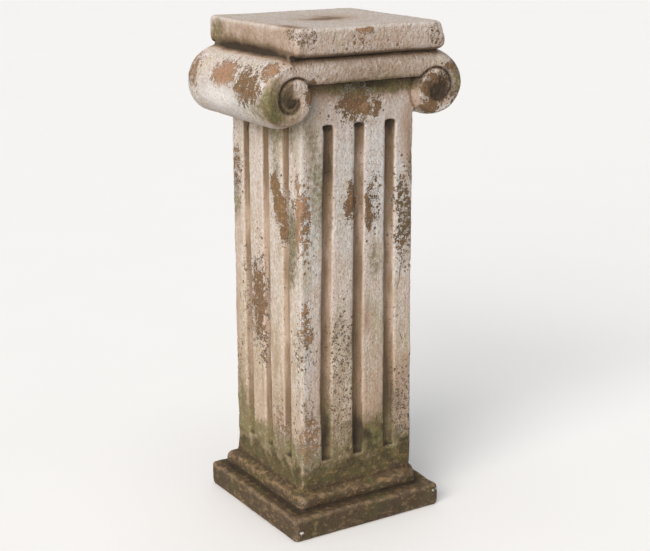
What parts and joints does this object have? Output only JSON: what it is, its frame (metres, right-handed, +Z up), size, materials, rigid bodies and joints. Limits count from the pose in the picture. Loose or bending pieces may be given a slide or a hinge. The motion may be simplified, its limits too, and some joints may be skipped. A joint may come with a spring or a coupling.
{
  "type": "ionic pedestal column",
  "caption": "Square fluted pedestal column with a scrolled Ionic cap and a stepped foot, cast in one piece with a weathered painted finish; stands on its own flat base.",
  "frame": {"origin": "on the ground, under the centre of the plinth", "axes": "+Z up the shaft; the scrolled faces of the two volutes point to -Y and +Y, and the rolls behind them run along Y at -X and +X"},
  "size_m": [0.366, 0.281, 0.8],
  "materials": {
    "cast_stone": "matt, flaking cream paint over brown cast clay cement, with grime in the hollows"
  },
  "bodies": {
    "root": {"column": "cast_stone"}
  },
  "joints": []
}
